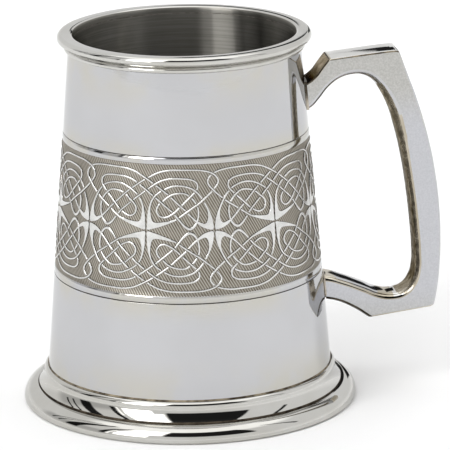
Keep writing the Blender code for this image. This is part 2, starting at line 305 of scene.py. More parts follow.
def patina_and_reflection_pewter():
    """The handle's inner faces: cast metal that kept its brown patina, darkest on the grip. The hollow
    above the upper joint has a painted reflection instead: brown, almost black near the joint.
    """
    nodes = Metal("patina_and_reflection_pewter", (0.32, 0.30, 0.27))
    reach, _, height = nodes.split(nodes.place())
    patches = nodes.ramp(nodes.noise(620.0, 4.0, 0.65, (1.0, 1.0, 0.6)), 0.35, 0.68)
    grip = nodes.mix(patches, (0.085, 0.072, 0.052), (0.370, 0.330, 0.260))
    upper_grip = nodes.mix(patches, (0.200, 0.175, 0.130), (0.480, 0.430, 0.340))
    worn = nodes.mix(patches, (0.30, 0.26, 0.20), (0.60, 0.56, 0.48))
    # Painted reflection of the lip and barrel in the hollow at the upper joint: brown, almost black near
    # the joint.
    hollow = nodes.mix(patches, (0.36, 0.30, 0.22), (0.80, 0.71, 0.57))
    hollow = nodes.tones(height, *PAINTED_DARK_BY_JOINT, (0.02, 0.016, 0.012), hollow)
    colour = nodes.tones(height, *WORN_INSIDE_GRIP, worn, grip)
    colour = nodes.tones(height, *UPPER_INSIDE_GRIP, colour, upper_grip)
    in_hollow = nodes.math("LESS_THAN", reach, AXIS_X + JOINT_HOLLOW_END)
    return nodes.coat(nodes.mix(in_hollow, colour, hollow), nodes.ramp(patches, 0.0, 1.0, 0.34, 0.22),
                      nodes.bump(nodes.noise(500.0, 3.0, 0.6), 0.02 * MM))


def tarnish_and_painted_shade(name, dark, light):
    """Dark oxide that stays in grooves, where polishing can't reach. In the foot's groove and on some of
    the handle's edges it also stands for shade and dark reflections: painted shade.
    """
    nodes = Metal(name)
    stain = nodes.noise(220.0, 4.0, 0.6)
    return nodes.coat(nodes.tones(stain, 0.35, 0.65, dark, light), 0.6)


def fillet_metal():
    """The warm, pale solder wiped round the handle's ends, with black painted shade in the upper hollow."""
    nodes = Metal("fillet")
    stain = nodes.noise(700.0, 4.0, 0.7)
    wiped = nodes.tones(stain, 0.3, 0.7, (0.40, 0.35, 0.28), (0.58, 0.53, 0.45))
    height = nodes.split(nodes.place())[2]
    # Painted shade: black above, in the upper hollow.
    colour = nodes.tones(height, *SOLDER_PAINTED_SHADE, wiped, (0.07, 0.06, 0.045))
    return nodes.coat(colour, nodes.ramp(stain, 0.3, 0.7, 0.25, 0.4), nodes.bump(stain, 0.02 * MM))


def solder_metal():
    """The grey, stained solder in the seams."""
    nodes = Metal("solder")
    stain = nodes.noise(500.0, 4.0, 0.7)
    return nodes.coat(nodes.tones(stain, 0.35, 0.65, (0.13, 0.11, 0.09), (0.42, 0.39, 0.35)),
                      nodes.ramp(stain, 0.3, 0.7, 0.35, 0.6), nodes.bump(stain, 0.03 * MM))


# ---------------- mesh helpers

def finish_piece(piece, node=None, sharp=35):
    """Shade a piece, with edges of more than sharp degrees kept, and let it stand for its CAD node."""
    piece.data.shade_smooth()
    piece.data.set_sharp_from_angle(angle=math.radians(sharp))
    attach(piece, "root")
    if node:
        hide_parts(node)


def shown(name, data):
    """A new object in the scene."""
    piece = bpy.data.objects.new(name, data)
    bpy.context.scene.collection.objects.link(piece)
    return piece


def show_metals(piece, picks):
    """Give each face of a piece its own metal."""
    slots = {metal: slot for slot, metal in enumerate(dict.fromkeys(picks))}
    piece.data.materials.clear()
    for metal in slots:
        piece.data.materials.append(metal)
    piece.data.polygons.foreach_set("material_index", [slots[pick] for pick in picks])


def mesh_piece(name, vertices, faces, material=None):
    mesh = bpy.data.meshes.new(name)
    mesh.from_pydata([tuple(v) for v in vertices], [], [tuple(f) for f in faces])
    mesh.validate()
    if material:
        mesh.materials.append(material)
    return shown(name, mesh)


def face_outward(piece):
    work = bmesh.new()
    work.from_mesh(piece.data)
    bmesh.ops.recalc_face_normals(work, faces=work.faces)
    work.to_mesh(piece.data)
    work.free()


def rounded(corners, steps=6):
    """A closed section with its corners rounded. Each corner is (radius, height, rounding)."""
    points = []
    count = len(corners)
    for index, (radius, height, rounding) in enumerate(corners):
        here = Vector((radius, height))
        before = Vector(corners[index - 1][:2]) - here
        after = Vector(corners[(index + 1) % count][:2]) - here
        if rounding <= 0:
            points.append(tuple(here))
            continue
        turn = before.angle(after)
        reach = min(rounding / math.tan(turn / 2), 0.48 * before.length, 0.48 * after.length)
        start, end = here + before.normalized() * reach, here + after.normalized() * reach
        for step in range(steps + 1):
            share = step / steps
            near = start.lerp(here, share)
            far = here.lerp(end, share)
            points.append(tuple(near.lerp(far, share)))
    return points


def grid_faces(rows, columns, first=0, looped=True):
    """Faces between neighbouring points of rows that are rings. Looped, the last row meets the first."""
    faces = []
    for row in range(rows if looped else rows - 1):
        here, there = first + row * columns, first + (row + 1) % rows * columns
        for column in range(columns):
            after = (column + 1) % columns
            faces.append((here + column, here + after, there + after, there + column))
    return faces


def lathe(name, section, metal=None, segments=SEGMENTS, paint=None):
    """Turn a closed section round the barrel's axis. paint picks a face's metal from its middle."""
    angles = np.linspace(0, math.tau, segments, endpoint=False)
    count = len(section)
    vertices = [(AXIS_X + radius * math.cos(a), radius * math.sin(a), height)
                for a in angles for radius, height in section]
    piece = mesh_piece(name, vertices, grid_faces(segments, count), metal)
    if paint:
        picks = [paint((here[0] + there[0]) / 2, (here[1] + there[1]) / 2)
                 for here, there in zip(section, section[1:] + section[:1])]
        show_metals(piece, picks * segments)
    face_outward(piece)
    return piece


# ---------------- turned pieces

CHANNEL = 0.8 * MM  # depth of the channel that the band lies in
CHANNEL_GAP = 0.21 * MM  # dark line between the barrel and the band's edges
BARREL_EDGE = 0.12 * MM  # rounding of the barrel's edges
LIP_LAP = 0.2 * MM  # gap between the barrel's top and the lip's ledge, filled by solder
LIP_CLEARANCE = 0.06 * MM  # gap between the barrel and the lip that laps over it
LIP_EDGE = 1.5 * MM  # roundness of the lip's outer edge
LIP_BORE = 1.2 * MM  # roundness of its inner edge
# The hollow below the lip's edge, as millimetres (from the axis, below the rim).
LIP_HOLLOW = [(39.5, 2.6), (38.7, 3.1), (38.1, 3.45)]
LIP_BEAD = (37.42 * MM, LIP_BOTTOM + 1.05 * MM)
LIP_BEAD_RADIUS = 0.95 * MM
FOOT_BEAD = (45.28 * MM, 9.95 * MM)
FOOT_BEAD_RADIUS = 1.75 * MM
COVE_BEND = 4.0 * MM  # radius of the cove below the bead
COVE_FLARE = 9.6 * MM  # radius of its wider part
COVE_TILTS = (0, 22, 40)  # degrees off upright where the two parts start and end
GROOVE_HEIGHT = 5.0 * MM  # fine groove between the cove and the ovolo
OVOLO = 4.4 * MM
OVOLO_HEIGHT = 0.95 * MM  # where the ovolo is widest
FOOT_EDGE = 0.9 * MM  # rounding down to the contact ring
# The foot's underside from the contact ring to the barrel, as millimetres (from the axis, height).
FOOT_UNDERSIDE = [(52.8, 0.0), (49.3, 0.0), (48.7, 0.5), (48.1, 2.0), (47.0, 3.3), (45.6, 4.1), (44.3, 4.5)]


def make_barrel():
    upper, lower = BAND_TOP + CHANNEL_GAP, BAND_BOTTOM - CHANNEL_GAP
    corners = [
        (cone(BARREL_TOP), BARREL_TOP, BARREL_EDGE),
        (cone(BARREL_TOP) - WALL, BARREL_TOP, BARREL_EDGE),
        (cone(BARREL_BOTTOM) - WALL, BARREL_BOTTOM, BARREL_EDGE),
        (cone(BARREL_BOTTOM), BARREL_BOTTOM, BARREL_EDGE),
        (cone(lower), lower, BARREL_EDGE), (cone(lower) - CHANNEL, lower, 0),
        (cone(upper) - CHANNEL, upper, 0), (cone(upper), upper, BARREL_EDGE),
    ]

    def paint(radius, height):
        depth = cone(height) - radius
        if depth > WALL - 0.1 * MM:
            return INNER
        return TARNISH_AND_SHADE if depth > 0.15 * MM and lower - MM < height < upper + MM else POLISHED

    finish_piece(lathe("barrel_fine", rounded(corners, 4), paint=paint), "barrel")


def arc(centre, radius, start, end, steps):
    """Points of an arc in the section plane, angles in degrees from the outward axis."""
    angles = np.radians(np.linspace(start, end, steps + 1))
    return [(centre[0] + radius * math.cos(a), centre[1] + radius * math.sin(a)) for a in angles]


def hollow(start, radius, tilt_from, tilt_to, steps):
    """Points down a hollow bend that begins at start and flares outwards between two tilts."""
    centre = (start[0] + radius * math.cos(math.radians(tilt_from)),
              start[1] + radius * math.sin(math.radians(tilt_from)))
    return arc(centre, radius, 180 + tilt_from, 180 + tilt_to, steps)


def make_lip():
    """Flat top, round edge, hollow below it, and a bead that laps down over the barrel."""
    bottom = LIP_BOTTOM + 0.05 * MM
    ledge = BARREL_TOP + LIP_LAP
    cup = cone(ledge) - WALL
    section = arc((LIP_RADIUS - LIP_EDGE, RIM - LIP_EDGE), LIP_EDGE, 90, -25, 16)
    section += [(radius * MM, RIM - below * MM) for radius, below in LIP_HOLLOW]
    section += arc(LIP_BEAD, LIP_BEAD_RADIUS, 68, -40, 10)
    section += [(cone(bottom) + 0.20 * MM, bottom), (cone(bottom) + LIP_CLEARANCE, bottom),
                (cone(ledge) + LIP_CLEARANCE, ledge), (cup, ledge)]
    section += arc((cup + LIP_BORE, RIM - LIP_BORE), LIP_BORE, 180, 90, 10)

    def paint(radius, height):
        return INNER if radius < cup + 0.25 * LIP_BORE else POLISHED_BRIGHT

    finish_piece(lathe("lip_fine", section, paint=paint), "lip_ring")


def make_foot():
    """A bead, a cove that flares to a fine groove, and an ovolo down to the contact ring."""
    ledge = BARREL_BOTTOM - 0.2 * MM
    upright, bent, flared = COVE_TILTS
    section = arc(FOOT_BEAD, FOOT_BEAD_RADIUS, 70, 0, 14)
    section += hollow(section[-1], COVE_BEND, upright, bent, 8)[1:]
    section += hollow(section[-1], COVE_FLARE, bent, flared, 9)[1:]
    groove = section[-1][0]
    crest = groove + 0.33 * MM
    section += [(groove + 0.06 * MM, GROOVE_HEIGHT + 0.05 * MM), (groove + 0.15 * MM, GROOVE_HEIGHT)]
    section += arc((FOOT_RADIUS - OVOLO, OVOLO_HEIGHT), OVOLO, 92, -4, 30)
    section += arc((FOOT_RADIUS - OVOLO_HEIGHT, FOOT_EDGE), FOOT_EDGE, -20, -85, 6)
    section += [(radius * MM, height * MM) for radius, height in FOOT_UNDERSIDE]
    section += [(section[-1][0], ledge), (cone(ledge) + 0.15 * MM, ledge)]

    def paint(radius, height):
        # The groove's dark metal is partly oxide and partly a painted reflection of dark surroundings.
        in_groove = groove < radius < crest and height > GROOVE_HEIGHT - 0.1 * MM
        return TARNISH_AND_SHADE if in_groove else POLISHED_BRIGHT

    finish_piece(lathe("foot_fine", section, paint=paint), "foot_ring", sharp=30)


def make_floor():
    """A disc, closed in the middle by drawing the last ring of points together."""
    radius, edge, centre = cone(FLOOR_TOP) - WALL - 0.1 * MM, 0.15 * MM, 0.3 * MM
    section = rounded([(radius, FLOOR_TOP, edge), (radius, FLOOR_BOTTOM, edge),
                       (centre, FLOOR_BOTTOM, 0), (centre, FLOOR_TOP, 0)], 3)
    piece = lathe("floor_fine", section, FLOOR, segments=SEGMENTS // 2)
    work = bmesh.new()
    work.from_mesh(piece.data)
    for height in (FLOOR_BOTTOM, FLOOR_TOP):
        ring = [v for v in work.verts if abs(v.co.z - height) < 0.01 * MM
                and math.hypot(v.co.x - AXIS_X, v.co.y) < 0.5 * MM]
        bmesh.ops.pointmerge(work, verts=ring, merge_co=(AXIS_X, 0, height))
    bmesh.ops.recalc_face_normals(work, faces=work.faces)
    work.to_mesh(piece.data)
    work.free()
    finish_piece(piece, "floor_disc")


# ---------------- handle and its solder

# The CAD handle's outline, with a slight crown along its top: (distance from the axis, height), and
# CORNER where the outline turns sharply.
CORNER = True
HANDLE_OUTER = [
    (0.0350, 0.1012, CORNER),
    (0.0386, 0.1028), (0.0413, 0.1048), (0.0432, 0.1073), (0.04555, 0.11035, CORNER),
    (0.0580, 0.11155), (0.0640, 0.11210), (0.0670, 0.1123, CORNER),
    (0.0680, 0.1120), (0.0685, 0.1111, CORNER),
    (0.0708, 0.1047), (0.0737, 0.0967), (0.0772, 0.0847), (0.0797, 0.0726),
    (0.08115, 0.0605), (0.0816, 0.0500), (0.08135, 0.0415), (0.0806, 0.0335),
    (0.07975, 0.0285, CORNER), (0.07925, 0.02715), (0.0782, 0.02655, CORNER),
    (0.0579, 0.0239, CORNER),
    (0.0533, 0.0271), (0.0475, 0.0299), (0.0400, 0.0313, CORNER),
]
HANDLE_INNER = [
    (0.0400, 0.0386, CORNER),
    (0.0446, 0.0385), (0.0506, 0.03665), (0.0568, 0.03415), (0.0617, 0.0320),
    (0.0657, 0.0314), (0.0696, 0.0323), (0.0722, 0.0352), (0.0734, 0.0395),
    (0.07345, 0.0450), (0.0729, 0.0530), (0.0717, 0.0640), (0.0699, 0.0755),
    (0.0677, 0.0850), (0.0654, 0.0927), (0.0627, 0.0983), (0.0598, 0.1023),
    (0.0566, 0.1043), (0.0532, 0.1046), (0.0496, 0.1037), (0.0459, 0.1012),
    (0.0424, 0.0970), (0.0406, 0.0950), (0.0386, 0.0938), (0.0350, 0.0928, CORNER),
]
LOWER_ARM_REACH = 0.0579
OPENING_CENTRE = (0.057, 0.068)  # (distance from the axis, height)
OPENING_ROUND = 2.3 * MM  # edges round the opening, where the fingers go
ARCH_ROUND = 3.9 * MM  # the same where the arch turns down into the grip
ARCH_TURN = (0.0645, 0.0925)  # that turn's middle: (distance from the axis, height)
ARCH_TURN_REACH = 22 * MM
HOLLOW_ROUND = 1.5 * MM  # edges under the lower arm
EDGE_ROUND = 0.7 * MM  # all the handle's other edges
SOLDER_SHOWN = 0.35 * MM  # gap between the handle's ends and the barrel, filled by solder
FILLET = 0.65 * MM  # how far the solder stands out round the handle's ends
PAD_LIFT = 0.5 * MM  # less of it below the handle's ends, where it was wiped off
CUTTER_DEPTH = 36 * MM


def evaluated_mesh(piece):
    bpy.context.view_layer.update()
    return bpy.data.meshes.new_from_object(piece.evaluated_get(bpy.context.evaluated_depsgraph_get()))


def replace_mesh(piece, mesh):
    """Keep what the modifiers make as the piece's own mesh."""
    piece.modifiers.clear()
    piece.data = mesh


def handle_curve():
    curve = bpy.data.curves.new("handle_outline", "CURVE")
    curve.dimensions = "2D"
    curve.fill_mode = "BOTH"
    curve.extrude = HANDLE_THICKNESS / 2
    curve.resolution_u = 10
    outline = HANDLE_OUTER + HANDLE_INNER
    spline = curve.splines.new("BEZIER")
    spline.bezier_points.add(len(outline) - 1)
    spline.use_cyclic_u = True
    for point, (reach, height, *corner) in zip(spline.bezier_points, outline):
        point.co = (reach, height, 0.0)
        point.handle_left_type = point.handle_right_type = "VECTOR" if corner else "AUTO"
    return shown("handle_outline", curve)


def edge_rounding(edge):
    """How much to round an edge of the flat outline: X is the distance from the axis, Y the height."""
    if edge.calc_face_angle(0.0) < math.radians(30):
        return 0.0
    side = min(edge.link_faces, key=lambda face: abs(face.normal.z))
    middle = (edge.verts[0].co + edge.verts[1].co) / 2
    if side.normal.dot(Vector((*OPENING_CENTRE, 0.0)) - middle) > 0:
        away = math.dist(middle[:2], ARCH_TURN) / ARCH_TURN_REACH
        share = max(0.0, 1.0 - away)
        return OPENING_ROUND + (ARCH_ROUND - OPENING_ROUND) * share * share * (3 - 2 * share)
    under_lower_arm = side.normal.y < -0.5 and middle.x < LOWER_ARM_REACH and middle.y < BAND_BOTTOM
    return HOLLOW_ROUND if under_lower_arm else EDGE_ROUND


def handle_mesh():
    """The outline as a clean upright slab in the row frame."""
    flat = handle_curve()
    mesh = evaluated_mesh(flat)
    bpy.data.objects.remove(flat, do_unlink=True)
    work = bmesh.new()
    work.from_mesh(mesh)
    bmesh.ops.remove_doubles(work, verts=work.verts, dist=0.002 * MM)
    bmesh.ops.dissolve_limit(work, angle_limit=math.radians(0.3), verts=work.verts, edges=work.edges)
    bmesh.ops.recalc_face_normals(work, faces=work.faces)
    weight = work.edges.layers.float.new("bevel_weight_edge")
    for edge in work.edges:
        edge[weight] = edge_rounding(edge) / ARCH_ROUND
    for vertex in work.verts:
        reach, height, side = vertex.co
        vertex.co = (reach + AXIS_X, -side, height)
    bmesh.ops.recalc_face_normals(work, faces=work.faces)
    work.to_mesh(mesh)
    work.free()
    return mesh


def cone_solid(name, offset, thickness=None):
    """The barrel's cone as a cutter, almost solid or as a shell."""
    top, bottom = RIM, 0.0
    outer = [(cone(top) + offset, top), (cone(bottom) + offset, bottom)]
    inner_offset = offset - (thickness or CUTTER_DEPTH)
    section = outer + [(cone(bottom) + inner_offset, bottom), (cone(top) + inner_offset, top)]
    return lathe(name, section)


def cut_with(piece, cutter, operation):
    cut = piece.modifiers.new("cut", "BOOLEAN")
    cut.operation = operation
    cut.object = cutter
    replace_mesh(piece, evaluated_mesh(piece))
    bpy.data.objects.remove(cutter, do_unlink=True)


# Where the handle's finishes lie: distances from the axis and heights.
TOP_FACE_ABOVE = 0.1105
GRIP_REACH = (0.061, 0.0765)
GRIP_HEIGHT = (0.0312, 0.1015)
GRIP_BEND_BELOW = 0.040  # where the grip's inner face turns into the lower arm
JOINT_HOLLOW_REACH = 0.0454
JOINT_HOLLOW_ABOVE = 0.095
ARCH_ABOVE = 0.085
UNDER_ARM_BELOW = 0.032
UNDER_ARM_REACH = 0.060
# Upward faces at the bottom of the handle's opening, which get the brighter metal of the painted highlight.
OPENING_BOTTOM_REACH = (0.0660, 0.0698)
OPENING_BOTTOM_BELOW = 0.0345


def in_grip_face_and_joint_hollow(face):
    """True on the grip's inner face and on the hollow above the upper joint."""
    reach, height, across = face.center.x - AXIS_X, face.center.z, abs(face.normal.y)
    out, up = face.normal.x, face.normal.z
    # The hollow above the upper joint, which gets a painted reflection.
    if out < -0.3 and up > 0.3 and reach < JOINT_HOLLOW_REACH and across < 0.3:
        return True
    in_grip = GRIP_REACH[0] < reach < GRIP_REACH[1] and GRIP_HEIGHT[0] < height < GRIP_HEIGHT[1]
    return in_grip and across < 0.85 and (out < -0.4 or (out < -0.15 and height < GRIP_BEND_BELOW))


def handle_finish(face):
    """Which metal a face of the handle shows, by where it is and which way it looks."""
    reach, height, across = face.center.x - AXIS_X, face.center.z, abs(face.normal.y)
    out, up = face.normal.x, face.normal.z
    if across > 0.97:
        return SATIN
    if up > 0.3 and height > TOP_FACE_ABOVE:
        # Top face: painted highlight, with a painted dark reflection along its rounded edges.
        return HIGHLIGHTED_PEWTER if across < 0.6 else SEAM_AND_EDGE_SHADE
    if in_grip_face_and_joint_hollow(face):
        return PATINA_AND_REFLECTION
    # The hollow's rounded edges: dark, a painted reflection like the hollow's face.
    if out < -0.3 and up > 0.1 and height > JOINT_HOLLOW_ABOVE:
        return TARNISH_AND_SHADE if across < 0.85 else WORN
    # Arch underside: a dark line painted along the rounding, a painted reflection.
    if up < -0.1 and height > ARCH_ABOVE:
        return SEAM_AND_EDGE_SHADE if 0.5 < across < 0.75 else POLISHED
    # Under the lower arm: a dark line painted along the rounding, a painted reflection.
    if up < -0.1 and height < UNDER_ARM_BELOW and reach < UNDER_ARM_REACH:
        return TARNISH_AND_SHADE if across > 0.7 else POLISHED
    # Bottom of the opening: painted highlight.
    if up > 0.5 and height < OPENING_BOTTOM_BELOW and OPENING_BOTTOM_REACH[0] < reach < OPENING_BOTTOM_REACH[1]:
        return HIGHLIGHTED_PEWTER
    return POLISHED if out > 0.3 else WORN


def make_handle():
    piece = shown("handle_fine", handle_mesh())
    rounding = piece.modifiers.new("rounding", "BEVEL")
    rounding.width = ARCH_ROUND
    rounding.segments = 6
    rounding.limit_method = "WEIGHT"
    rounding.use_clamp_overlap = False
    cut_with(piece, cone_solid("handle_trim", SOLDER_SHOWN), "DIFFERENCE")
    show_metals(piece, [handle_finish(face) for face in piece.data.polygons])
    finish_piece(piece, "handle", sharp=50)


def make_pad(name, node):
    """The solder squeezed out round one end of the handle."""
    low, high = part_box(node)
    low.z += PAD_LIFT
    mesh = bpy.data.meshes.new(name)
    work = bmesh.new()
    bmesh.ops.create_cube(work, size=1.0)
    size = (30 * MM, HANDLE_THICKNESS + 2 * FILLET, high.z - low.z)
    bmesh.ops.scale(work, vec=size, verts=work.verts)
    bmesh.ops.translate(work, vec=((low.x + high.x) / 2, 0, (low.z + high.z) / 2), verts=work.verts)
    bmesh.ops.bevel(work, geom=work.edges[:], offset=1.0 * MM, segments=4, affect="EDGES")
    work.to_mesh(mesh)
    work.free()
    piece = shown(name, mesh)
    cut_with(piece, cone_solid(name + "_shell", FILLET, FILLET - 0.02 * MM), "INTERSECT")
    wiping = piece.modifiers.new("wiping", "BEVEL")
    wiping.width = 0.8 * FILLET
    wiping.segments = 3
    wiping.limit_method = "ANGLE"
    wiping.angle_limit = math.radians(60)
    replace_mesh(piece, evaluated_mesh(piece))
    show_metals(piece, [FILLET_METAL] * len(piece.data.polygons))
    finish_piece(piece, node)


def make_seams():
    """Solder between the barrel and the lip, along the foot's top edge and under the floor."""
    end = BARREL_TOP + 0.02 * MM
    outer, inner = cone(end) - 0.10 * MM, cone(end) - WALL + 0.02 * MM
    lip = [(outer, end + 0.14 * MM, 0), (outer, end, 0), (inner, end, 0), (inner, end + 0.14 * MM, 0)]
    bead = FOOT_TOP + 0.08 * MM
    wall = cone(bead) + 0.02 * MM
    foot = [(wall - 0.04 * MM, bead + 0.5 * MM, 0), (wall + 0.10 * MM, bead + 0.2 * MM, 0.15 * MM),
            (wall + 0.25 * MM, bead, 0), (wall, bead, 0)]
    inside = cone(BARREL_BOTTOM) - WALL - 0.05 * MM
    below = FLOOR_BOTTOM - 0.05 * MM
    under = [(inside, below, 0), (inside, BARREL_BOTTOM + 0.1 * MM, 0.1 * MM),
             (inside - 0.9 * MM, below, 0.1 * MM)]
    for name, corners, node, material in (("lip_seam", lip, "lip_solder", SOLDER),
                                          ("foot_seam", foot, "foot_solder", SEAM_AND_EDGE_SHADE),
                                          ("floor_seam", under, "floor_solder", SOLDER)):
        finish_piece(lathe(name, rounded(corners, 3), material, segments=SEGMENTS // 2), node)


# ---------------- knotwork band

# The pattern repeats six times round the band. Half a repeat is one knot, from the middle of a
# wide cross (across 0) to the middle of a looped cross (across KNOT_WIDTH), and every second knot
# is its mirror image. The lower half of the band mirrors the upper.
REPEATS = 6
FIRST_CROSS = math.radians(-115.0)  # direction of one wide cross, from the handle
KNOT_ANGLE = math.pi / REPEATS
KNOT_WIDTH = 21.1  # millimetres that one knot spans at the height it was drawn for
BORDER = 2.2 * MM  # plain strip along each edge of the band
GROUND_DEPTH = 0.22 * MM  # ground below the plain strips
STRAND_HEIGHT = 0.30 * MM
STRAND_WIDTH = 0.60 * MM
WEAVE_GAP = 0.26 * MM  # ground left on each side where a strand passes under another
STRAND_STEP = 0.40 * MM
SWELL, SWELL_REACH = 0.7, 2.6  # strands widen near the band's middle: by what share, within how many mm
END_DROP = 0.12  # how much lower a strand lies where it passes under, as a share of its height
BAND_ROOT = 0.6 * MM  # how deep the band goes below the barrel's cone
BAND_EDGE = 0.1 * MM  # bevel of its top and bottom edges
BORDER_EDGE = (0.12 * MM, 0.08 * MM)  # width and depth of the bevel between strip and ground
HATCHES = 294  # engraved lines round the band, a whole number in each repeat
HATCH_RISE = 0.045 * MM
HATCH_SHAPE = (0.0, 1.0, 0.25, -1.0)  # shares of the rise across one hatch
GROUND_ROWS = 27
HATCH_LEAN = 0.56  # sideways run of a hatch line for each unit of its height

# Strand points in millimetres: (across from the wide cross, above the middle).
OVER_LOOP = [
    (9.0, 3.35), (10.4, 4.3), (12.6, 5.9), (14.9, 7.5), (16.4, 8.5), (19.7, 11.3), (21.1, 12.7),
    (22.3, 14.1), (22.8, 15.4), (22.3, 16.7), (21.1, 17.8), (19.2, 18.6), (16.4, 19.1), (12.0, 19.2),
    (7.6, 19.1), (4.2, 18.4), (1.8, 17.3), (0.0, 16.3),
]
DIAGONAL = [
    (0.0, 16.3), (1.8, 15.2), (4.4, 13.4), (7.0, 11.4), (8.2, 10.3), (12.3, 6.4), (13.3, 5.3), (13.9, 4.6),
]
LEAF_TO_LEAF = [
    (1.5, 8.8), (2.1, 10.0), (2.9, 11.1), (4.5, 12.3), (6.3, 13.3), (8.5, 14.1), (11.4, 14.2),
    (14.4, 13.3), (16.3, 11.7), (17.4, 10.3), (18.2, 8.9),
]
WOVEN_LOOP = [
    (0.0, 12.7), (1.7, 13.9), (3.5, 15.1), (5.6, 16.0), (8.2, 16.5), (11.6, 16.5), (14.4, 16.1),
    (15.9, 15.1), (16.2, 13.9), (15.9, 12.9), (14.9, 11.7), (11.4, 8.3), (10.4, 7.3), (8.6, 5.6),
    (6.2, 4.3), (4.4, 4.6), (3.4, 5.9), (3.5, 7.4), (4.3, 8.5), (5.3, 9.3), (6.6, 10.5), (8.2, 11.4),
    (10.4, 11.9), (12.2, 11.8), (13.6, 10.9), (14.9, 9.6), (15.9, 7.9), (16.3, 6.2), (16.1, 3.9),
    (15.3, 1.9), (14.0, 0.75), (12.9, 0.85), (11.6, 1.9), (10.2, 3.6), (8.9, 5.3), (7.9, 6.3),
    (3.4, 10.1), (1.7, 11.4), (0.0, 12.7),
]
# Leaves as matching points on their outer and inner edges.
WIDE_LEAF = [
    ((9.07, 3.05), (8.93, 3.65)), ((6.7, 2.1), (6.5, 3.05)), ((4.4, 1.25), (4.4, 2.7)),
    ((2.3, 0.62), (3.1, 2.62)), ((0.32, 0.28), (2.3, 2.85)), ((0.28, 2.4), (1.75, 3.8)),
    ((0.34, 4.7), (1.46, 5.7)),
    ((0.70, 7.0), (1.46, 7.3)), ((1.22, 8.93), (1.78, 8.67)),
]
LOOP_LEAF = [
    ((13.72, 4.40), (14.12, 4.80)), ((15.5, 2.65), (15.95, 3.2)), ((17.2, 1.25), (17.3, 2.5)),
    ((18.7, 0.55), (18.1, 2.25)), ((20.75, 0.28), (18.75, 2.7)), ((20.8, 2.4), (19.15, 3.95)),
    ((20.3, 4.7), (19.15, 5.6)), ((19.45, 7.0), (18.8, 6.9)), ((18.48, 9.03), (17.92, 8.77)),
]


def smooth_curve(points, steps):
    """A smooth curve through the given points, with the same number of steps between each pair."""
    points = np.array(points, float)
    before = np.vstack([2 * points[0] - points[1], points[:-1]])
    after = np.vstack([points[1:], 2 * points[-1] - points[-2]])
    slopes = (after - before) / 2
    t = np.linspace(0, 1, steps, endpoint=False)[:, None]
    pieces = [(2 * t**3 - 3 * t**2 + 1) * points[i] + (t**3 - 2 * t**2 + t) * slopes[i]
              + (3 * t**2 - 2 * t**3) * points[i + 1] + (t**3 - t**2) * slopes[i + 1]
              for i in range(len(points) - 1)]
    return np.vstack(pieces + [points[-1:]])


def along(line):
    """Distance along a line of points at each of them."""
    return np.concatenate([[0], np.cumsum(np.hypot(*np.diff(line, axis=0).T))])


def points_at(marks, length, line):
    return np.column_stack([np.interp(marks, length, line[:, 0]), np.interp(marks, length, line[:, 1])])


def even_curve(points, step):
    """The same curve as evenly spaced points."""
    line = smooth_curve(points, 24)
    length = along(line)
    marks = np.linspace(0, length[-1], max(2, int(round(length[-1] / step)) + 1))
    return points_at(marks, length, line)


def mirrored(points):
    return [(-across, above) for across, above in points]


def repeat_strands():
    """The strands of one repeat, as (points, closed), round the wide cross at across 0."""
    crossing = OVER_LOOP + mirrored(DIAGONAL)[1:]
    woven = WOVEN_LOOP + mirrored(WOVEN_LOOP)[1:]
    lines = [(crossing, False), (mirrored(crossing), False), (LEAF_TO_LEAF, False),
             (mirrored(LEAF_TO_LEAF), False), (woven, True)]
    return [(even_curve(points, 0.25), closed) for points, closed in lines]


def find_crossings(strands):
    """Where strands of one repeat cross each other or the next repeats'. Each crossing is
    ((strand, distance along it), (strand, distance along it), sine and cosine of their angle)."""
    owner, starts, begin, run = [], [], [], []
    for number, (line, _) in enumerate(strands):
        owner += [number] * (len(line) - 1)
        starts += list(along(line)[:-1])
        begin += list(line[:-1])
        run += list(np.diff(line, axis=0))
    begin, run = np.array(begin), np.array(run)
    steps = np.hypot(*run.T)
    last = len(owner) - 1
    crossings = []
    for shift in (0, 2 * KNOT_WIDTH):
        for i in range(last + 1):
            gap = begin + np.array([shift, 0]) - begin[i]
            cross = run[i][0] * run[:, 1] - run[i][1] * run[:, 0]
            with np.errstate(divide="ignore", invalid="ignore"):
                t = (gap[:, 0] * run[:, 1] - gap[:, 1] * run[:, 0]) / cross
                u = (gap[:, 0] * run[i][1] - gap[:, 1] * run[i][0]) / cross
            for j in np.nonzero((t >= 0) & (t < 1) & (u >= 0) & (u < 1))[0]:
                closing = i == 0 and j == last and owner[i] == owner[j] and strands[owner[i]][1]
                if shift == 0 and (j <= i + 1 or closing):
                    continue
                sine = abs(cross[j]) / (steps[i] * steps[j])
                cosine = float(run[i] @ run[j]) / (steps[i] * steps[j]) * math.copysign(1, cross[j])
                if sine > 0.2:
                    crossings.append(((owner[i], starts[i] + t[j] * steps[i]),
                                      (owner[j], starts[j] + u[j] * steps[j]), sine, cosine))
    return crossings


def weave(strands, crossings):
    """Which strand passes under at each crossing, so that every strand goes over and under by turns."""
    stops = [[] for _ in strands]
    for index, (first, second, _, _) in enumerate(crossings):
        stops[first[0]].append((first[1], index, 0))
        stops[second[0]].append((second[1], index, 1))
    links = [[] for _ in crossings]
    for number, along_strand in enumerate(stops):
        along_strand.sort()
        pairs = list(zip(along_strand, along_strand[1:]))
        if strands[number][1] and len(along_strand) > 2:
            pairs.append((along_strand[-1], along_strand[0]))
        for (_, one, side_one), (_, two, side_two) in pairs:
            flip = side_one == side_two
            links[one].append((two, flip))
            links[two].append((one, flip))
    under = [None] * len(crossings)
    for seed in range(len(crossings)):
        if under[seed] is not None:
            continue
        under[seed] = 0
        queue = [seed]
        while queue:
            here = queue.pop()
            for there, flip in links[here]:
                if under[there] is None:
                    under[there] = 1 - under[here] if flip else under[here]
                    queue.append(there)
    return under


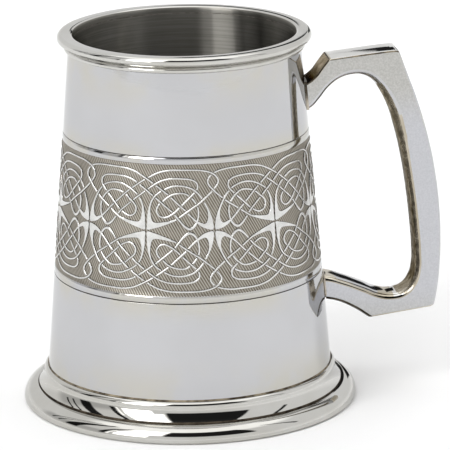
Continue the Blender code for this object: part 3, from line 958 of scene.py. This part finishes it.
def visible_runs(strands):
    """Each strand cut where it passes under: lists of (strand, start, end, slant at start, at end)."""
    crossings = find_crossings(strands)
    under = weave(strands, crossings)
    runs = []
    for number, (line, closed) in enumerate(strands):
        length = float(along(line)[-1])
        cuts = []
        for (first, second, sine, cosine), low_side in zip(crossings, under):
            strand, distance = (first, second)[low_side]
            if strand == number:
                half = (STRAND_WIDTH / MM / 2 + WEAVE_GAP / MM) / sine
                slant = cosine / sine * (1 if low_side == 0 else -1)
                cuts.append((distance, half, slant))
        cuts.sort()
        if closed:
            ends = cuts[1:] + [(cuts[0][0] + length, cuts[0][1], cuts[0][2])]
            spans = list(zip(cuts, ends))
        else:
            spans = list(zip([(0.0, 0.0, 0.0)] + cuts, cuts + [(length, 0.0, 0.0)]))
        for (start, start_half, start_slant), (end, end_half, end_slant) in spans:
            if end - end_half - start - start_half > 0.5:
                runs.append((number, start + start_half, end - end_half, start_slant, end_slant))
    return runs


def band_point(across, above, lift, flip, repeat):
    """A pattern point on the band's cone, raised by lift."""
    height = (BAND_BOTTOM + BAND_TOP) / 2 + (above if not flip else -above) * MM
    angle = FIRST_CROSS + (2 * repeat + across / KNOT_WIDTH) * KNOT_ANGLE
    radius = cone(height) - GROUND_DEPTH + lift
    return (AXIS_X + radius * math.cos(angle), radius * math.sin(angle), height)


# A strand's cross-section: (share of its half width, share of its height, is it polished).
STRAND_SECTION = [(-1.25, -0.25, 0.0), (-1.02, 0.55, 0.2), (-0.72, 1.0, 1.0), (0.0, 1.06, 1.0),
                  (0.72, 1.0, 1.0), (1.02, 0.55, 0.2), (1.25, -0.25, 0.0)]


def run_rows(line, closed, start, end, slant_start, slant_end):
    """Cross-sections along one visible run: rows of (across, above, lift, polish)."""
    length = along(line)
    if closed:
        line = np.vstack([line, line[1:]])
        length = np.concatenate([length, length[-1] + length[1:]])
    marks = np.linspace(start, end, max(2, int((end - start) * MM / STRAND_STEP) + 1))
    spots = points_at(marks, length, line)
    slopes = np.gradient(spots, axis=0)
    slopes /= np.hypot(*slopes.T)[:, None]
    rows = []
    last = len(marks) - 1
    for index, (spot, slope) in enumerate(zip(spots, slopes)):
        side = np.array([-slope[1], slope[0]])
        swell = 1.0 + SWELL * max(0.0, 1.0 - spot[1] / SWELL_REACH)
        half = STRAND_WIDTH / MM / 2 * swell
        slant = slant_start if index == 0 else slant_end if index == last else 0.0
        row = []
        for share, rise, polish in STRAND_SECTION:
            place = spot + side * share * half + slope * share * half * slant
            lowered = 0.0 if 0 < index < last else END_DROP
            row.append((place[0], place[1], (rise - lowered) * STRAND_HEIGHT, polish))
        rows.append(row)
    return rows


def leaf_rows(pairs):
    """Cross-sections along a leaf, between its outer and inner edges."""
    outer, inner = (smooth_curve(edge, 7) for edge in zip(*pairs))
    rows = []
    for edge, other in zip(outer, inner):
        middle, half = (edge + other) / 2, (other - edge) / 2
        size = float(np.hypot(*half))
        row = []
        for share, rise, polish in STRAND_SECTION:
            inset = abs(share) - 1.0
            reach = math.copysign(1.0 + inset * (STRAND_WIDTH / MM / 2) / size, share) if share else 0.0
            place = middle + half * reach
            row.append((place[0], place[1], rise * STRAND_HEIGHT, polish))
        rows.append(row)
    return rows


def mark_ridges(piece, values):
    """Keep a value at each vertex, 1 on the ridges, for the metals to read."""
    layer = piece.data.attributes.new("ridge", "FLOAT", "POINT")
    layer.data.foreach_set("value", values)


def make_strands():
    """Every strand and leaf of the band as one raised mesh."""
    strands = repeat_strands()
    ribbons = [run_rows(*strands[number], start, end, slant_start, slant_end)
               for number, start, end, slant_start, slant_end in visible_runs(strands)]
    for leaf in (WIDE_LEAF, LOOP_LEAF):
        rows = leaf_rows(leaf)
        ribbons += [rows, [[(-a, b, lift, polish) for a, b, lift, polish in row] for row in rows]]
    vertices, faces, polish = [], [], []
    for repeat in range(REPEATS):
        for flip in (False, True):
            for rows in ribbons:
                first, wide = len(vertices), len(STRAND_SECTION)
                for row in rows:
                    vertices += [band_point(a, b, lift, flip, repeat) for a, b, lift, _ in row]
                    polish += [value for _, _, _, value in row]
                faces += grid_faces(len(rows), wide, first, looped=False)
                faces += [range(first, first + wide), range(len(vertices) - wide, len(vertices))]
    piece = mesh_piece("knotwork_strands", vertices, faces, STRAND)
    face_outward(piece)
    mark_ridges(piece, polish)
    finish_piece(piece, sharp=50)


def make_band():
    """The band's plain strips and its hatched ground, as one closed ring."""
    columns = HATCHES * len(HATCH_SHAPE)
    lower, upper = BAND_BOTTOM + BORDER, BAND_TOP - BORDER
    # Rows up the band: (height, how far out of the barrel's cone, metal from here to the next row).
    bevel, drop = BORDER_EDGE
    rows = [(BAND_BOTTOM, -BAND_ROOT, TARNISH_AND_SHADE), (BAND_BOTTOM, -BAND_EDGE, TARNISH_AND_SHADE),
            (BAND_BOTTOM + BAND_EDGE, 0.0, POLISHED), (lower - bevel, 0.0, POLISHED),
            (lower, -drop, POLISHED)]
    rows += [(height, -GROUND_DEPTH, GROUND)
             for height in np.linspace(lower + 0.05 * MM, upper - 0.05 * MM, GROUND_ROWS)]
    rows += [(upper, -drop, GROUND), (upper + bevel, 0.0, POLISHED),
             (BAND_TOP - BAND_EDGE, 0.0, POLISHED), (BAND_TOP, -BAND_EDGE, TARNISH_AND_SHADE),
             (BAND_TOP, -BAND_ROOT, TARNISH_AND_SHADE)]
    vertices, ridge = [], []
    middle = (lower + upper) / 2
    for height, offset, _ in rows:
        on_ground = offset == -GROUND_DEPTH
        lean = HATCH_LEAN * (height - middle) / cone(middle)
        for column in range(columns):
            phase = HATCH_SHAPE[column % len(HATCH_SHAPE)]
            angle = math.tau * column / columns - lean
            radius = cone(height) + offset + (HATCH_RISE * phase if on_ground else 0.0)
            vertices.append((AXIS_X + radius * math.cos(angle), radius * math.sin(angle), height))
            ridge.append((phase + 1) / 2 if on_ground else 0.0)
    piece = mesh_piece("knotwork_band_fine", vertices, grid_faces(len(rows), columns))
    show_metals(piece, [metal for _, _, metal in rows for _ in range(columns)])
    face_outward(piece)
    mark_ridges(piece, ridge)
    finish_piece(piece, "knotwork_band", sharp=60)


# ---------------- camera, floor and light

CAMERA_DISTANCE = 1.220  # level distance from the barrel's axis
CAMERA_HEIGHT = 0.3945
CAMERA_AZIMUTH = -6.75  # degrees round from the -Y side
CAMERA_YAW = 0.5665
CAMERA_PITCH = 15.497
CAMERA_ROLL = 0.831
CAMERA_LENS = 315.34  # millimetres on a 36 mm sensor


def make_camera():
    data = bpy.data.cameras.new("camera")
    data.lens = CAMERA_LENS
    data.sensor_width = 36.0
    data.clip_start, data.clip_end = 0.05, 20.0
    camera = shown("camera", data)
    side = math.radians(CAMERA_AZIMUTH)
    camera.location = (AXIS_X + CAMERA_DISTANCE * math.sin(side), -CAMERA_DISTANCE * math.cos(side),
                       CAMERA_HEIGHT)
    heading = math.radians(CAMERA_AZIMUTH - CAMERA_YAW)
    turn = Euler((math.radians(90 - CAMERA_PITCH), 0, heading)).to_matrix()
    roll = Euler((0, 0, math.radians(-CAMERA_ROLL))).to_matrix()
    camera.rotation_euler = (turn @ roll).to_euler()
    bpy.context.scene.camera = camera


FLOOR_SIZE = 8.0

# The studio's light, by direction in degrees. Azimuth is 0 towards the camera. The angle behind is 0
# straight behind the object. Both grow to the camera's right.
WALLS, CEILING = 0.94, 1.62
CEILING_EDGE = (50.0, 60.0)  # heights between which the walls turn into the ceiling
LOW_GLOW = 0.19  # added light at the floor
LOW_GLOW_TOP = 12.0
# Brighter and dimmer panels: azimuth from and to, lowest and highest height, gain, softness.
PANELS = [
    (-55.0, -22.0, 31.0, 62.0, 2.4, 2.0), (-55.0, -31.0, 14.0, 34.0, 5.0, 1.5),
    (-60.5, -58.5, 10.0, 40.0, 1.2, 0.5), (-120.0, -57.0, 1.0, 26.0, -0.34, 6.0),
]
# Dark gaps: azimuth or angle behind from and to, lowest and highest height, softness.
GAPS = [
    (-20.0, 48.0, 26.0, 61.0, 2.0), (-66.0, -61.5, 10.0, 61.0, 0.8), (-95.0, -84.0, 8.0, 61.0, 1.5),
    (-104.0, -102.0, 12.0, 58.0, 0.7), (-111.0, -109.0, 12.0, 58.0, 0.7), (80.0, 84.0, 26.0, 61.0, 1.5),
]
GAPS_BEHIND = [(-0.15, 7.0, 13.2, 21.0, 0.3), (8.0, 17.0, 3.0, 13.0, 1.0)]


def make_stage():
    """White paper under the object."""
    corners = [(x * FLOOR_SIZE, y * FLOOR_SIZE, 0) for x, y in ((-1, -1), (1, -1), (1, 1), (-1, 1))]
    material = bpy.data.materials.new("paper")
    material.use_nodes = True
    nodes = Nodes(material.node_tree)
    shader = nodes.tree.nodes["Principled BSDF"]
    tone = nodes.mix(nodes.noise(3.0), (0.945, 0.945, 0.945), (0.95, 0.95, 0.95))
    for name, value in (("Base Color", tone), ("Roughness", 0.9), ("Specular IOR Level", 0.1)):
        nodes.feed(shader.inputs[name], value)
    floor = mesh_piece("paper_floor", corners, [(0, 1, 2, 3)], material)


def make_world():
    """A white studio: bright ceiling, pale sides, and dark gaps that give the metal its lines."""
    world = bpy.data.worlds.new("studio")
    bpy.context.scene.world = world
    world.use_nodes = True
    nodes = Nodes(world.node_tree)
    x, y, z = nodes.split(nodes.add("ShaderNodeTexCoord").outputs["Generated"])
    turn, degrees = math.radians(CAMERA_AZIMUTH), 180 / math.pi
    ahead = nodes.math("SUBTRACT", nodes.times(x, math.sin(turn)), nodes.times(y, math.cos(turn)))
    across = nodes.plus(nodes.times(x, math.cos(turn)), nodes.times(y, math.sin(turn)))
    height = nodes.times(nodes.math("ARCSINE", z), degrees)
    azimuth = nodes.times(nodes.math("ARCTAN2", across, ahead), degrees)
    behind = nodes.times(nodes.math("ARCTAN2", across, nodes.times(ahead, -1.0)), degrees)

    def patch(around, left, right, bottom, top, soft):
        return nodes.times(nodes.window(around, left, right, soft), nodes.window(height, bottom, top, soft))

    level = nodes.plus(nodes.ramp(height, *CEILING_EDGE, WALLS, CEILING),
                       nodes.ramp(height, 0.0, LOW_GLOW_TOP, LOW_GLOW, 0.0))
    for left, right, bottom, top, gain, soft in PANELS:
        level = nodes.plus(level, nodes.times(patch(azimuth, left, right, bottom, top, soft), gain))
    dark = 0.0
    for around, gap in [(azimuth, gap) for gap in GAPS] + [(behind, gap) for gap in GAPS_BEHIND]:
        dark = nodes.math("MAXIMUM", dark, patch(around, *gap))
    lit = nodes.times(level, nodes.ramp(dark, 0.0, 1.0, 1.0, 0.02))
    # The camera itself sees plain white.
    seen = nodes.add("ShaderNodeLightPath").outputs["Is Camera Ray"]
    strength = nodes.plus(seen, nodes.times(nodes.math("SUBTRACT", 1.0, seen), lit))
    background = world.node_tree.nodes["Background"]
    nodes.feed(background.inputs["Color"], (1.0, 1.0, 1.0))
    nodes.feed(background.inputs["Strength"], strength)


bpy.context.scene.view_settings.view_transform = "Standard"

POLISHED = polished_pewter("polished_pewter", PEWTER_DULL, PEWTER, 0.05, 0.005 * MM, SMUDGED)
POLISHED_BRIGHT = polished_pewter("bright_pewter", PEWTER_WARM_DULL, PEWTER_WARM, 0.03, 0.003 * MM)
WORN = polished_pewter("worn_pewter", PEWTER_WORN_DULL, PEWTER_WORN, 0.05, 0.003 * MM)
# Smoothly polished metal whose brighter colour is a painted highlight on the handle's upward faces.
HIGHLIGHTED_PEWTER = polished_pewter("highlighted_pewter", PEWTER_WARM, PEWTER_PAINTED_HIGHLIGHT, 0.02, 0.0)
INNER = inner_pewter()
FLOOR = floor_pewter()
# Tarnish, also used as painted shade and painted reflection in the foot's groove and on the handle's edges.
TARNISH_AND_SHADE = tarnish_and_painted_shade("tarnish_and_painted_shade", (0.045, 0.036, 0.027), (0.14, 0.115, 0.085))
# Solder seam colour, also used for the dark lines along the handle's rounded edges, which are painted
# reflection.
SEAM_AND_EDGE_SHADE = tarnish_and_painted_shade("seam", (0.055, 0.042, 0.030), (0.34, 0.29, 0.21))
SATIN = satin_pewter()
SOLDER = solder_metal()
FILLET_METAL = fillet_metal()
PATINA_AND_REFLECTION = patina_and_reflection_pewter()
GROUND = hatched_pewter()
STRAND = strand_pewter()

make_camera()
make_stage()
make_world()
make_barrel()
make_lip()
make_foot()
make_floor()
make_seams()
make_handle()
make_pad("upper_pad", "upper_handle_solder")
make_pad("lower_pad", "lower_handle_solder")
make_band()
make_strands()
